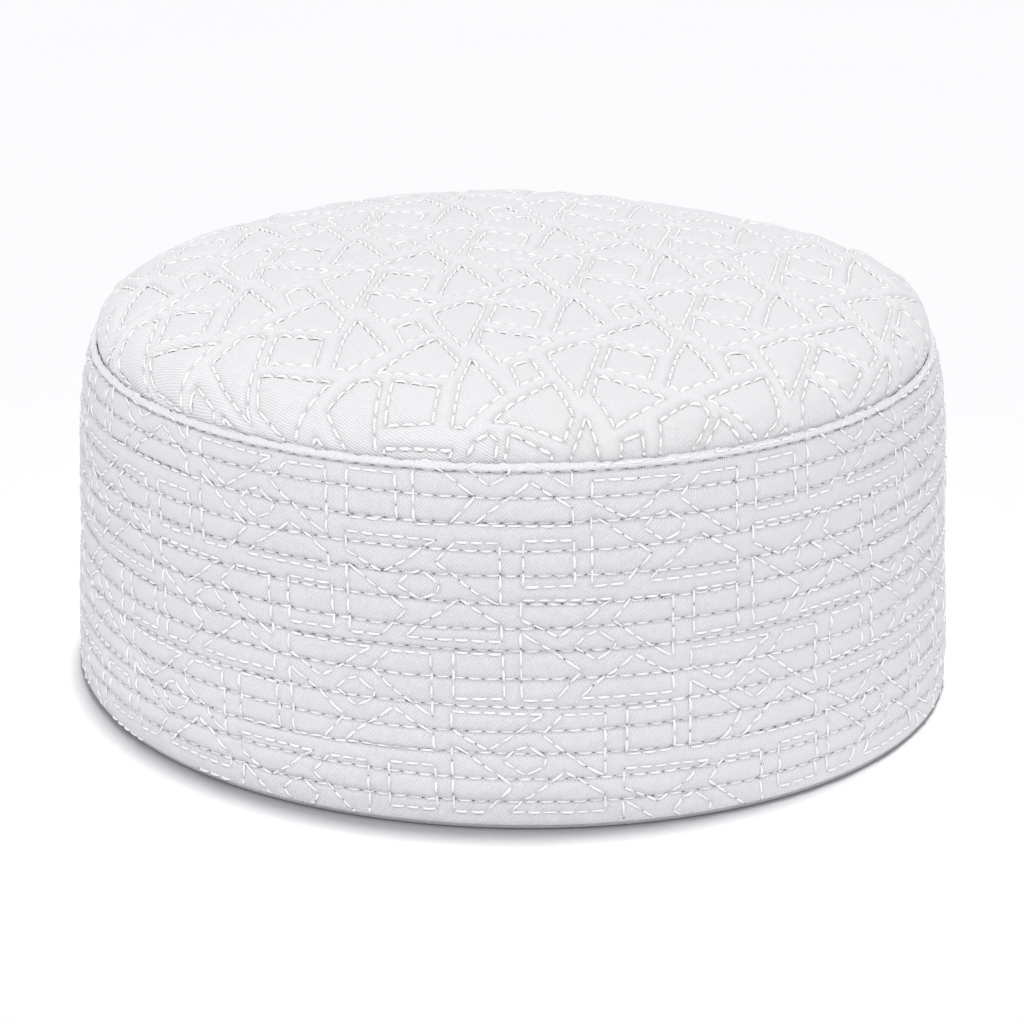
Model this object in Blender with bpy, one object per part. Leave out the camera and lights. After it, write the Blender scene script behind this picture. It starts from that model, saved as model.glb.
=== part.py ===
"""A quilted kufi cap: an upright padded band and a padded, softly domed crown.

Metres, +Z up. The cap stands on its hem, and the origin is at the middle of its footprint.
The front of the cap faces -Y. Angles around the cap run anticlockwise from +X.
"""

import math
from collections import namedtuple

import bmesh
import bpy
import numpy as np

# Sizes of the band, from the hem up to the lip where it meets the crown
HEM_RADIUS = 0.0966
LIP_RADIUS = 0.0914
BAND_HEIGHT = 0.0745
BAND_WALL = 0.0030
LIP_THICKNESS = 0.0020
LIP_DEPTH = 0.0016
LIP_LEAN = 0.0008
HEM_DEPTH = 0.0060
HEM_ROUNDING = 0.0008

# Quilting rows around the band
ROW_SPACING = 0.0052
RIB_RISE = 0.0006

# Sizes of the crown
CROWN_RISE = 0.0164
CROWN_WALL = 0.0028
CROWN_DROP = 0.0008
SHOULDER_POWER = 0.302
SEAM_ALLOWANCE = 0.0080
ALLOWANCE_THICKNESS = 0.0014

# The crown's allowance lies this far from the band
PIECE_GAP = 0.0003

# Faces around the cap and down the crown
SEGMENTS = 64
CROWN_STEPS = 12
LINING_STEPS = 8

# The band's side, seen from the front: the share of its flare left at each share of its height
SidePoint = namedtuple("SidePoint", "height_share flare_share")
SIDE_LINE = (
    SidePoint(0.00, 1.00),
    SidePoint(0.25, 0.94),
    SidePoint(0.50, 0.75),
    SidePoint(0.75, 0.62),
    SidePoint(1.00, 0.00),
)

# The section of one rib between two rows of stitches
RibPoint = namedtuple("RibPoint", "spacing_share rise_share")
RIB_SECTION = (RibPoint(0.0, 0.0), RibPoint(0.3, 1.0), RibPoint(0.7, 1.0))

# Where the soft hem strays from a true circle, as shares of the radius
HemSway = namedtuple("HemSway", "lobes radius_share peak_degrees")
HEM_SWAYS = (HemSway(2, 0.016, -43.0), HemSway(3, 0.010, -18.0))

# Where the crown's shoulder stands high or sags, as shares of the crown's rise
ShoulderLump = namedtuple("ShoulderLump", "degrees width_degrees rise_share")
SHOULDER_LUMPS = (
    ShoulderLump(8.0, 16.0, 0.15),
    ShoulderLump(52.0, 18.0, -0.10),
    ShoulderLump(96.0, 18.0, 0.08),
)


def side_radius(height):
    """The outer radius of the band at this height, before its ribs are pulled in."""
    shares = [point.height_share for point in SIDE_LINE]
    flares = [point.flare_share for point in SIDE_LINE]
    curve = np.polyfit(shares, flares, len(SIDE_LINE) - 1)
    flare = float(np.polyval(curve, height / BAND_HEIGHT))
    return LIP_RADIUS + (HEM_RADIUS - LIP_RADIUS) * flare


def lip_foot():
    """Radius and height of the lip's inner edge, where the crown's seam starts."""
    return LIP_RADIUS - LIP_THICKNESS, BAND_HEIGHT - LIP_THICKNESS / 2


def allowance_foot():
    """Radius and height of the band's inner face at the raw edge of the crown's allowance."""
    height = BAND_HEIGHT - SEAM_ALLOWANCE
    return side_radius(height) - BAND_WALL, height


def arc(centre_radius, centre_height, arc_radius, start, end, steps):
    """Points of a round edge in the section, between two angles in degrees."""
    points = []
    for angle in np.radians(np.linspace(start, end, steps)):
        radius = centre_radius + arc_radius * math.cos(angle)
        points.append((radius, centre_height + arc_radius * math.sin(angle)))
    return points


def ribbed_side():
    """The band's outer face, from the topstitching under the lip down to the last row."""
    top = BAND_HEIGHT - LIP_DEPTH
    ribs = max(1, round((top - HEM_DEPTH) / ROW_SPACING))
    spacing = (top - HEM_DEPTH) / ribs
    points = []
    for rib in range(ribs):
        for section in RIB_SECTION:
            height = top - (rib + section.spacing_share) * spacing
            points.append((side_radius(height) - RIB_RISE * (1 - section.rise_share), height))
    points.append((side_radius(HEM_DEPTH) - RIB_RISE, HEM_DEPTH))
    return points


def band_section():
    """The closed section of the band: lip, ribbed outer face, hem and plain inner face."""
    lip_centre = (LIP_RADIUS - LIP_THICKNESS / 2, BAND_HEIGHT - LIP_THICKNESS / 2)
    rounding = min(HEM_ROUNDING, BAND_WALL / 3)
    points = arc(*lip_centre, LIP_THICKNESS / 2, 180, 0, 5)
    points += ribbed_side()
    points.append((side_radius(HEM_DEPTH / 2), HEM_DEPTH / 2))
    points += arc(HEM_RADIUS - rounding, rounding, rounding, 0, -90, 3)
    points += arc(HEM_RADIUS - BAND_WALL + rounding, rounding, rounding, -90, -180, 3)
    foot_radius, foot_height = allowance_foot()
    for share in (0.25, 0.5, 0.75):
        height = share * foot_height
        points.append((side_radius(height) - BAND_WALL, height))
    points.append((foot_radius, foot_height))
    return points


def dome_point(share, seam_radius, seam_height):
    """A point of the crown's section at this share of its radius."""
    height = seam_height + CROWN_RISE * max(0.0, 1 - share * share) ** SHOULDER_POWER
    return share * seam_radius, height


def crown_section():
    """The open section of the crown, from the middle of its top round to its underside."""
    lip_radius, lip_height = lip_foot()
    foot_radius, foot_height = allowance_foot()
    seam_radius = lip_radius - PIECE_GAP
    seam_height = BAND_HEIGHT - CROWN_DROP
    edge_radius = foot_radius - PIECE_GAP
    under_height = seam_height - CROWN_WALL
    down = (lip_height - under_height) / (lip_height - foot_height)
    under_radius = seam_radius + down * (edge_radius - seam_radius) - ALLOWANCE_THICKNESS
    outer_shares = [math.sin(math.pi / 2 * step / CROWN_STEPS) for step in range(CROWN_STEPS + 1)]
    under_shares = [math.sin(math.pi / 2 * step / LINING_STEPS) for step in range(LINING_STEPS + 1)]
    points = [dome_point(share, seam_radius, seam_height) for share in outer_shares]
    points.append((seam_radius, lip_height))
    points.append((edge_radius, foot_height))
    points.append((edge_radius - ALLOWANCE_THICKNESS, foot_height))
    points += [dome_point(share, under_radius, under_height) for share in reversed(under_shares)]
    return points


def place(radius, height, angle):
    """Moves a point of a true turned shape to where it lies on the soft cap."""
    share = min(1.0, height / BAND_HEIGHT)
    stray = 0.0
    for sway in HEM_SWAYS:
        stray += sway.radius_share * math.cos(sway.lobes * (angle - math.radians(sway.peak_degrees)))
    swayed = radius * (1 + (1 - share) * stray)
    lump = 0.0
    for row in SHOULDER_LUMPS:
        turn = math.remainder(math.degrees(angle) - row.degrees, 360.0)
        lump += row.rise_share * math.exp(-((turn / row.width_degrees) ** 2))
    above = max(0.0, height - BAND_HEIGHT)
    lifted = height + above * lump * (radius / LIP_RADIUS) ** 2
    x = swayed * math.cos(angle)
    return x, swayed * math.sin(angle), lifted + LIP_LEAN * share * x / LIP_RADIUS


def turned_mesh(name, section, closed):
    """Spins a section once around the cap, then lets the form go soft."""
    shape = bmesh.new()
    line = [shape.verts.new((radius, 0.0, height)) for radius, height in section]
    pairs = list(zip(line, line[1:]))
    if closed:
        pairs.append((line[-1], line[0]))
    edges = [shape.edges.new(pair) for pair in pairs]
    bmesh.ops.spin(
        shape,
        geom=line + edges,
        cent=(0.0, 0.0, 0.0),
        axis=(0.0, 0.0, 1.0),
        angle=2 * math.pi,
        steps=SEGMENTS,
        use_merge=True,
    )
    bmesh.ops.remove_doubles(shape, verts=shape.verts, dist=0.000001)
    bmesh.ops.recalc_face_normals(shape, faces=shape.faces)
    for vert in shape.verts:
        radius = math.hypot(vert.co.x, vert.co.y)
        vert.co = place(radius, vert.co.z, math.atan2(vert.co.y, vert.co.x))
    mesh = bpy.data.meshes.new(name)
    shape.to_mesh(mesh)
    shape.free()
    mesh.shade_smooth()
    mesh.set_sharp_from_angle(angle=math.radians(50))
    return mesh


def cloth(name, color, roughness):
    """A plain woven cotton finish."""
    material = bpy.data.materials.new(name)
    material.use_nodes = True
    shader = material.node_tree.nodes["Principled BSDF"]
    shader.inputs["Base Color"].default_value = (*color, 1.0)
    shader.inputs["Roughness"].default_value = roughness
    shader.inputs["Metallic"].default_value = 0.0
    shader.inputs["Sheen Weight"].default_value = 0.2
    return material


def add_piece(name, mesh, material, parent):
    """Puts one sewn piece into the scene under the cap's own empty."""
    piece = bpy.data.objects.new(name, mesh)
    piece.data.materials.append(material)
    piece.parent = parent
    bpy.context.scene.collection.objects.link(piece)
    return piece


def footprint_middle(mesh):
    """The middle of the space that a mesh takes up, seen from above."""
    xs = [vert.co.x for vert in mesh.vertices]
    ys = [vert.co.y for vert in mesh.vertices]
    return (min(xs) + max(xs)) / 2, (min(ys) + max(ys)) / 2


def main():
    for old in list(bpy.data.objects):
        bpy.data.objects.remove(old, do_unlink=True)
    band_mesh = turned_mesh("side_band", band_section(), closed=True)
    crown_mesh = turned_mesh("crown", crown_section(), closed=False)
    middle_x, middle_y = footprint_middle(band_mesh)
    cap = bpy.data.objects.new("cap", None)
    cap.location = (-middle_x, -middle_y, 0.0)
    bpy.context.scene.collection.objects.link(cap)
    add_piece("side_band", band_mesh, cloth("band_cloth", (0.86, 0.85, 0.87), 0.85), cap)
    add_piece("crown", crown_mesh, cloth("crown_cloth", (0.89, 0.88, 0.90), 0.85), cap)


main()
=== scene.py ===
# %% [markdown]
# # A quilted white kufi cap
#
# The cap is sewn from two padded cloth pieces. An upright band goes round the head, and a softly
# domed crown closes the top. Rows of stitches quilt the band into ribs, and a strapwork of stitched
# fields covers both pieces.
#
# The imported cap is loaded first. It is a fixed frame with plain solids, and every soft piece made
# here has to lie where its solid lies.

import math
from collections import namedtuple

import bpy
import numpy as np
from mathutils import Euler, Matrix, Vector


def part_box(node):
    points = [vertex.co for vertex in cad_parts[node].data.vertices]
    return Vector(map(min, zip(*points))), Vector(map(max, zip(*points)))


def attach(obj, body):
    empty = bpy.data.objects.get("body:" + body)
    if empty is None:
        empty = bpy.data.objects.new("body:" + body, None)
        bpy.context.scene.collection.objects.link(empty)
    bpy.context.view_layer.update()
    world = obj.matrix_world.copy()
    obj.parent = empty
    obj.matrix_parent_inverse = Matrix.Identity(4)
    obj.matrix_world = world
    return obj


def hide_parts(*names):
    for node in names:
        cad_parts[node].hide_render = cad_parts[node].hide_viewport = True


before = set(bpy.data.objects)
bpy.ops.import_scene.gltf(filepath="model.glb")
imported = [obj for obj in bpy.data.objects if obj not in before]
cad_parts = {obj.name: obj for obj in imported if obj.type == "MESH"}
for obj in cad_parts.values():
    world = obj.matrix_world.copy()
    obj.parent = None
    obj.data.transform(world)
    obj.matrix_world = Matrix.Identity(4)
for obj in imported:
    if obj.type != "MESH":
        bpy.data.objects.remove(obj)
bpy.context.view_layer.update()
random = np.random.default_rng(7)
print("nodes of the packed cap:", sorted(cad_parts))

# %% [markdown]
# ## The form under the embroidery
#
# Both pieces are nearly turned shapes, so a place on the cap is an angle and a height, or an angle
# and a distance from the middle. Such a form could be sculpted, or left to a cloth simulation. Here
# it is worked out from the sizes of the solids, so that it fits them and comes out the same each
# time. The sizes are in millimetres because stitches and ribs are easier to think of that way. The
# soft cloth strays from a true circle: its hem is slightly oval, and the shoulder of the crown stands
# high in one place and sags in another.

# %% Sizes of the cap, in millimetres
MM = 0.001
HEM_RADIUS = 96.6
LIP_RADIUS = 91.4
BAND_HEIGHT = 74.5
BAND_WALL = 3.0
LIP_THICKNESS = 1.3
HEM_ROUNDING = 1.2
HEM_INNER_ROUNDING = 0.6
CROWN_RISE = 16.4
CROWN_WALL = 2.8
CROWN_DROP = 0.8
SHOULDER_POWER = 0.302
SEAM_ALLOWANCE = 8.0
ALLOWANCE_THICKNESS = 1.4
PIECE_GAP = 0.2
LIP_LEAN = 0.8

SidePoint = namedtuple("SidePoint", "height_share flare_share")
SIDE_LINE = (
    SidePoint(0.00, 1.00),
    SidePoint(0.25, 0.94),
    SidePoint(0.50, 0.75),
    SidePoint(0.75, 0.62),
    SidePoint(1.00, 0.00),
)
HemSway = namedtuple("HemSway", "lobes radius_share peak_degrees")
HEM_SWAYS = (HemSway(2, 0.016, -43.0), HemSway(3, 0.010, -18.0))
ShoulderLump = namedtuple("ShoulderLump", "degrees width_degrees rise_share")
SHOULDER_LUMPS = (
    ShoulderLump(8.0, 16.0, 0.15),
    ShoulderLump(52.0, 18.0, -0.10),
    ShoulderLump(96.0, 18.0, 0.08),
)

# %% The turned form, and how the soft cloth strays from it
side_curve = np.polyfit(
    [point.height_share for point in SIDE_LINE],
    [point.flare_share for point in SIDE_LINE],
    len(SIDE_LINE) - 1,
)


def side_radius(height):
    """The radius of the band's outer face at a height."""
    return LIP_RADIUS + (HEM_RADIUS - LIP_RADIUS) * np.polyval(side_curve, height / BAND_HEIGHT)


def soften(radius, height, angle):
    """Points of the turned form, moved to where they lie on the soft cap."""
    share = np.minimum(1.0, height / BAND_HEIGHT)
    stray = np.zeros_like(angle)
    for sway in HEM_SWAYS:
        peak = math.radians(sway.peak_degrees)
        stray += sway.radius_share * np.cos(sway.lobes * (angle - peak))
    lump = np.zeros_like(angle)
    for row in SHOULDER_LUMPS:
        turn = (np.degrees(angle) - row.degrees + 180.0) % 360.0 - 180.0
        lump += row.rise_share * np.exp(-((turn / row.width_degrees) ** 2))
    above = np.maximum(0.0, height - BAND_HEIGHT)
    swayed = radius * (1 + (1 - share) * stray)
    x = swayed * np.cos(angle)
    lifted = height + above * lump * (radius / LIP_RADIUS) ** 2
    leaning = lifted + LIP_LEAN * share * x / LIP_RADIUS
    return np.stack([x, swayed * np.sin(angle), leaning], axis=-1)


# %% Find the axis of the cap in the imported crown
crown_low, crown_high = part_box("crown")
crown_middle = (crown_low + crown_high) / 2
crown_tops = [v.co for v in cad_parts["crown"].data.vertices if v.co.z > 0.95 * crown_high.z]
crown_pole = min(crown_tops, key=lambda point: (point - crown_middle).xy.length)
cap_axis = np.array([crown_pole.x, crown_pole.y, 0.0]) / MM
print("the cap's axis lies at", np.round(cap_axis, 2), "mm")


def to_row(points):
    """Millimetres about the cap's own axis, turned into metres in the shared frame."""
    return (points + cap_axis) * MM


# %% [markdown]
# ## The strapwork chart
#
# The embroidery is one repeat of six stitched fields. What stays free between the fields reads as a
# net of crossing straps. A real chart for such work is drawn on squared paper, field by field, and
# that is done here too: each field is a short list of corners, and the repeat is two steps across
# the cloth. The crown and the band carry the same net at two slants, so each has its own chart.

# %% Chart of the crown, seen from above with the front of the cap at the bottom
CROWN_STEPS = ((20.9, 33.6), (-23.8, 23.7))
CROWN_FIELDS = {
    "brick": ((-6.3, 23.0), (3.1, 18.3), (1.6, 8.3), (-8.2, 11.9)),
    "kite": ((-9.3, 8.6), (5.3, 1.6), (-5.2, -8.8), (-10.0, 0.8)),
    "spear": ((-11.3, -6.3), (-4.6, -22.3), (-12.8, -28.9), (-15.4, -27.6), (-13.6, -15.0)),
    "blade": (
        *((4.2, -5.5), (10.2, 0.9), (13.3, 1.1), (15.1, -1.3)),
        *((13.2, -12.5), (11.0, -23.8), (6.9, -14.5)),
    ),
    "sail": ((5.3, -18.5), (-6.8, -30.3), (8.2, -36.2), (9.8, -30.0)),
    "gem": ((-3.3, -11.4), (0.9, -8.9), (3.7, -16.0), (-1.6, -19.5)),
}

# %% Chart of the band, seen from outside, along the cloth and up
BAND_STEPS = ((13.5, 23.2), (35.0, -11.9))
BAND_START = (2.3, 48.1)
BAND_FIELDS = {
    "kite": ((0, 0), (0, -3.8), (7.4, -7.6), (12.6, -4.4), (15.6, -1.9), (18.4, -0.2)),
    "gem": ((10.6, -9.7), (12.8, -7.5), (15.4, -6.6), (19.1, -9.2), (18.5, -10.9), (15.0, -12.6)),
    "sail": (
        *((22.1, -0.4), (30.7, -0.4), (31.1, -13.2)),
        *((27.1, -11.0), (22.9, -8.1), (18.2, -4.5)),
    ),
    "spear": (
        *((0, -6.6), (4.1, -9.1), (8.8, -12.2), (12.4, -14.8)),
        *((10.0, -17.4), (7.2, -20.4), (0.5, -20.6)),
    ),
    "blade": (
        *((12.1, -20.3), (14.7, -17.8), (19.7, -14.5), (22.9, -11.9)),
        *((27.6, -14.8), (31.2, -16.9), (31.5, -20.4)),
    ),
    "brick": ((21.8, -23.1), (31.6, -23.1), (32.1, -32.2), (21.9, -32.4)),
}


# %% Lay the repeat over the cloth
def lay_fields(fields, steps, start, low, high):
    """Copies every field of a chart across the cloth, wherever it touches the wanted area."""
    laid = []
    low, high = np.array(low), np.array(high)
    across, up = np.array(steps[0]), np.array(steps[1])
    reach = 1 + int(np.max(high - low) / min(np.linalg.norm(across), np.linalg.norm(up)))
    for first in range(-reach, reach + 1):
        for second in range(-reach, reach + 1):
            offset = np.array(start) + first * across + second * up
            for corners in fields.values():
                outline = np.array(corners, float) + offset
                if np.all(outline.max(axis=0) > low) and np.all(outline.min(axis=0) < high):
                    laid.append(outline)
    return laid


CROWN_SPAN = 100.0
crown_area = ((-CROWN_SPAN, -CROWN_SPAN), (CROWN_SPAN, CROWN_SPAN))
crown_outlines = lay_fields(CROWN_FIELDS, CROWN_STEPS, (0.0, 0.0), *crown_area)
half_round = math.pi * (HEM_RADIUS + 1.0)
band_area = ((-half_round, 0.0), (half_round, BAND_HEIGHT))
band_outlines = lay_fields(BAND_FIELDS, BAND_STEPS, BAND_START, *band_area)
print(len(crown_outlines), "fields on the crown,", len(band_outlines), "round the band")


# %% How far a place on the cloth lies from the nearest row of embroidery
def nearest_row(places, outlines, reach=4.0):
    """For each place, its distance to a field's outline, the nearest point, and if it is inside."""
    distance = np.full(len(places), reach)
    nearest = places.copy()
    inside = np.zeros(len(places), bool)
    for outline in outlines:
        low, high = outline.min(axis=0) - reach, outline.max(axis=0) + reach
        picked = np.flatnonzero(np.all((places > low) & (places < high), axis=1))
        if len(picked) == 0:
            continue
        here = places[picked]
        crossings = np.zeros(len(picked), int)
        for start, end in zip(outline, np.roll(outline, -1, axis=0)):
            along = end - start
            share = np.clip((here - start) @ along / (along @ along), 0.0, 1.0)
            foot = start + share[:, None] * along
            far = np.linalg.norm(here - foot, axis=1)
            closer = far < distance[picked]
            distance[picked[closer]] = far[closer]
            nearest[picked[closer]] = foot[closer]
            spans = (start[1] > here[:, 1]) != (end[1] > here[:, 1])
            level = along[1] if along[1] != 0 else 1.0
            side_at = start[0] + (here[:, 1] - start[1]) / level * along[0]
            crossings += spans & (here[:, 0] < side_at)
        inside[picked[crossings % 2 == 1]] = True
    return distance, nearest, inside


# %% Gentle unevenness of sewn cloth
Unevenness = namedtuple("Unevenness", "rise_mm period_mm seed")
WAVES_EACH = 9
PERIOD_SPREAD = (0.7, 1.4)


def uneven_cloth(places, kind):
    """A smooth unevenness, up and down by about its rise, with bumps about its period apart."""
    pick = np.random.default_rng(kind.seed)
    total = np.zeros(len(places))
    for _ in range(WAVES_EACH):
        turn, shift = pick.uniform(0.0, 2 * math.pi, 2)
        along = places[:, 0] * math.cos(turn) + places[:, 1] * math.sin(turn)
        period = kind.period_mm * pick.uniform(*PERIOD_SPREAD)
        total += np.sin(2 * math.pi * along / period + shift)
    return kind.rise_mm * total / math.sqrt(WAVES_EACH)


def beside(distance, width):
    """1 on a row of stitches, fading to 0 within about two widths of it."""
    return np.exp(-((distance / width) ** 2))


# %% [markdown]
# ## The crown's padded relief
#
# Every row of stitches pulls a groove into the padding. Between two rows the strap swells into a
# rounded ridge, and inside a field the cloth lies like a thin cushion. A painted height map could
# show this, but it would blur at the edge of a groove. Here all three are functions of one number,
# the distance to the nearest row, so the relief follows the chart exactly. The chart is pulled a
# little out of true first, as the cloth is where it was eased over the shoulder.

# %% How the crown's cloth is pulled, in millimetres
ClothPull = namedtuple("ClothPull", "across_mm frontward_mm sideward_mm")
FRONT_PULLS = (
    ClothPull(-80.0, 9.0, -1.6),
    ClothPull(-50.0, 6.0, -1.2),
    ClothPull(-25.0, 4.2, -1.0),
    ClothPull(-12.0, 1.8, -0.6),
    ClothPull(0.0, -1.0, 0.0),
    ClothPull(20.0, -1.5, 0.8),
    ClothPull(45.0, -1.5, 2.0),
    ClothPull(80.0, -1.5, 2.2),
)
FRONT_REACH = 65.0
LEFT_PULL = 10.0
LEFT_START = 40.0
LEFT_REACH = 40.0
RIGHT_PULL = 2.0
RIGHT_REACH = 70.0


def crown_cloth_place(x, y):
    """Where a place on the crown lies on the chart, with the dome's cloth spread out flat."""
    across = [pull.across_mm for pull in FRONT_PULLS]
    front = (np.minimum(y, 0.0) / FRONT_REACH) ** 2
    forward = front * np.interp(x, across, [pull.frontward_mm for pull in FRONT_PULLS])
    sideward = front * np.interp(x, across, [pull.sideward_mm for pull in FRONT_PULLS])
    forward = forward + LEFT_PULL * (np.maximum(-x - LEFT_START, 0.0) / LEFT_REACH) ** 2
    sideward = sideward + RIGHT_PULL * (np.maximum(x, 0.0) / RIGHT_REACH) ** 2
    return np.stack([x + sideward, y + forward], axis=-1)


# %% Relief of the crown, in millimetres
CROWN_GROOVE = 0.42
CROWN_GROOVE_WIDTH = 0.46
CROWN_STRAP_RISE = 0.56
CROWN_STRAP_WIDTH = 0.8
CROWN_FIELD_RISE = 0.32
CROWN_FIELD_WIDTH = 2.0
CROWN_LUMPS = Unevenness(0.10, 12.0, 1)
CROWN_CRUMPLES = Unevenness(0.035, 3.4, 2)
CROWN_PUCKERS = Unevenness(0.07, 2.0, 3)
CROWN_PUCKER_WIDTH = 1.3


def crown_relief(places, distance, inside):
    """The height of the padded cloth over the plain dome."""
    lumps = uneven_cloth(places, CROWN_LUMPS) + uneven_cloth(places, CROWN_CRUMPLES)
    puckers = uneven_cloth(places, CROWN_PUCKERS) * beside(distance, CROWN_PUCKER_WIDTH)
    groove = -CROWN_GROOVE * beside(distance, CROWN_GROOVE_WIDTH)
    strap = CROWN_STRAP_RISE * (1 - beside(distance, CROWN_STRAP_WIDTH))
    field = CROWN_FIELD_RISE * (1 - beside(distance, CROWN_FIELD_WIDTH))
    return groove + np.where(inside, field, strap) + lumps + puckers


# %% Profile of the dome, from its pole down to the seam behind the lip
foot_height = BAND_HEIGHT - SEAM_ALLOWANCE
foot_radius = float(side_radius(foot_height)) - BAND_WALL - PIECE_GAP
lip_height = BAND_HEIGHT - LIP_THICKNESS / 2
seam_radius = LIP_RADIUS - LIP_THICKNESS - PIECE_GAP
seam_height = BAND_HEIGHT - CROWN_DROP
under_height = seam_height - CROWN_WALL
seam_slope = (foot_radius - seam_radius) / (lip_height - foot_height)
under_radius = seam_radius + (lip_height - under_height) * seam_slope - ALLOWANCE_THICKNESS


def dome_height(share, base):
    """Height of the dome at a share of its radius."""
    return base + CROWN_RISE * np.maximum(0.0, 1 - share**2) ** SHOULDER_POWER


fine_shares = np.sin(np.linspace(0.0, math.pi / 2, 4001))
fine_heights = dome_height(fine_shares, seam_height)
fine_lengths = np.concatenate(
    [[0.0], np.cumsum(np.hypot(np.diff(fine_shares) * seam_radius, np.diff(fine_heights)))]
)
print("the crown's cloth is", round(2 * fine_lengths[-1], 1), "mm across, measured over the dome")


PROFILE_STEP = 0.05


def dome_profile(length):
    """Radius, height and the outward normal of the dome at a distance from its pole."""
    shares = np.interp(length, fine_lengths, fine_shares)
    height = np.interp(length, fine_lengths, fine_heights)
    steps = np.stack([length + PROFILE_STEP, np.maximum(length - PROFILE_STEP, 0.0)])
    run = -seam_radius * np.diff(np.interp(steps, fine_lengths, fine_shares), axis=0)[0]
    fall = np.diff(np.interp(steps, fine_lengths, fine_heights), axis=0)[0]
    size = np.maximum(np.hypot(run, fall), 1e-9)
    return shares * seam_radius, height, fall / size, run / size


# %% A place on the crown's outer face
RIM_FADE = 2.0
CREASE_WIDTH = 0.5
STRAP_EDGE_WIDTH = 0.6


def crown_surface(length, angle, lift=0.0):
    """Points of the crown's face, their places on the chart, and how creased or raised they are, as
    masks for puckers, painted crease shade and a painted strap highlight.
    """
    radius, height, out, up = dome_profile(length)
    places = crown_cloth_place(length * np.cos(angle), length * np.sin(angle))
    distance, _, inside = nearest_row(places, crown_outlines)
    fade = np.clip((fine_lengths[-1] - length) / RIM_FADE, 0.0, 1.0)
    rise = crown_relief(places, distance, inside) * fade + lift
    points = soften(radius + out * rise, height + up * rise, angle)
    # The strap mask places a painted highlight on the raised straps; the crease mask places painted
    # shade and puckers.
    strap = np.where(inside, 0.0, 1 - beside(distance, STRAP_EDGE_WIDTH)) * fade
    return points, places, beside(distance, CREASE_WIDTH) * fade, strap


# %% [markdown]
# ## Building a round sheet of cloth
#
# A round sheet is built ring by ring. Rings near the middle need fewer points than those at the
# rim, so the number of points halves where a ring gets small enough. Two rings with the same number
# are joined by four-sided faces, and a ring is joined to one with half as many by threes.

# %% Join rings of points into a mesh
def ring_faces(start_a, count_a, start_b, count_b):
    """Faces between two rings of points, where one may have twice as many as the other."""
    faces = []
    if count_a == count_b:
        for step in range(count_a):
            after = (step + 1) % count_a
            faces.append((start_a + step, start_b + step, start_b + after, start_a + after))
    elif count_b == 2 * count_a:
        for step in range(count_a):
            after = (step + 1) % count_a
            outer = [start_b + (2 * step + shift) % count_b for shift in range(3)]
            faces.append((start_a + step, outer[0], outer[1]))
            faces.append((start_a + step, outer[1], start_a + after))
            faces.append((start_a + after, outer[1], outer[2]))
    else:
        for corners in ring_faces(start_b, count_b, start_a, count_a):
            faces.append(tuple(reversed(corners)))
    return faces


def note_points(mesh, key, rows):
    """Gives every point of a mesh a number or a vector that its material can read."""
    kind, field = ("FLOAT_VECTOR", "vector") if rows.ndim == 2 else ("FLOAT", "value")
    attribute = mesh.attributes.new(key, kind, "POINT")
    attribute.data.foreach_set(field, rows.astype(np.float32).ravel())


def cloth_mesh(name, rings, places, crease, pucker, strap):
    """A mesh from rings of points, with what its material reads. One point closes the sheet."""
    starts = np.cumsum([0] + [len(ring) for ring in rings])
    faces = []
    for index in range(len(rings) - 1):
        count_a, count_b = len(rings[index]), len(rings[index + 1])
        inner, outer = starts[index], starts[index + 1]
        if count_a == 1:
            faces += [(inner, outer + step, outer + (step + 1) % count_b) for step in range(count_b)]
        elif count_b == 1:
            faces += [(inner + step, outer, inner + (step + 1) % count_a) for step in range(count_a)]
        else:
            faces += ring_faces(inner, count_a, outer, count_b)
    mesh = bpy.data.meshes.new(name)
    points = to_row(np.concatenate(rings)).tolist()
    mesh.from_pydata(points, [], [tuple(map(int, face)) for face in faces])
    mesh.shade_smooth()
    flat = np.column_stack([places, np.zeros(len(places))])
    note_points(mesh, "cloth_place", flat)
    # The crease attribute places painted shade and the strap attribute a painted highlight in the
    # twill.
    for key, rows in (("crease", crease), ("pucker", pucker), ("strap", strap)):
        note_points(mesh, key, rows)
    return mesh


def triangle_count(mesh):
    """How many triangles a mesh comes to when its faces are cut into threes."""
    return sum(len(face.vertices) - 2 for face in mesh.polygons)


cap_pieces = []


def add_piece(name, mesh, material):
    """Puts a finished mesh into the scene, riding with the cap."""
    piece = bpy.data.objects.new(name, mesh)
    cap_pieces.append(piece)
    bpy.context.scene.collection.objects.link(piece)
    piece.data.materials.append(material)
    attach(piece, "root")
    print(name, "has", triangle_count(mesh), "triangles")
    return piece


# %% [markdown]
# ## Cotton twill and embroidery thread
#
# The cloth is a matt white twill: fine slanting lines about half a millimetre apart. Pictures of
# cloth could be wrapped round the cap, but they would stretch on the dome and show their joints. A
# wave texture gives the lines at their real size instead. A painted highlight makes the twill
# brighter on top of a ridge and on the band's folded lip, and painted shade makes it a little greyer
# in the grooves. Each mesh carries its own flat cloth coordinates in millimetres, so that the weave
# runs along the cloth.

# %% Node helpers
def new_material(name):
    """A material with its shader, and short ways to add a node and to join two."""
    material = bpy.data.materials.new(name)
    material.use_nodes = True
    tree = material.node_tree

    def node(kind, values=None, **settings):
        made = tree.nodes.new(kind)
        for key, value in settings.items():
            setattr(made, key, value)
        for key, value in (values or {}).items():
            made.inputs[key].default_value = value
        return made

    return material, tree.nodes["Principled BSDF"], node, tree.links.new


def mapped_range(node, join, source, low, high):
    """Spreads a texture's 0 to 1 between two values."""
    spread = node("ShaderNodeMapRange", {"To Min": low, "To Max": high})
    join(source, spread.inputs["Value"])
    return spread.outputs["Result"]


def noise(node, join, place, scale, detail=2.0):
    """A soft random pattern over these coordinates."""
    made = node("ShaderNodeTexNoise", {"Scale": scale, "Detail": detail})
    join(place, made.inputs["Vector"])
    return made.outputs["Fac"]


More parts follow.
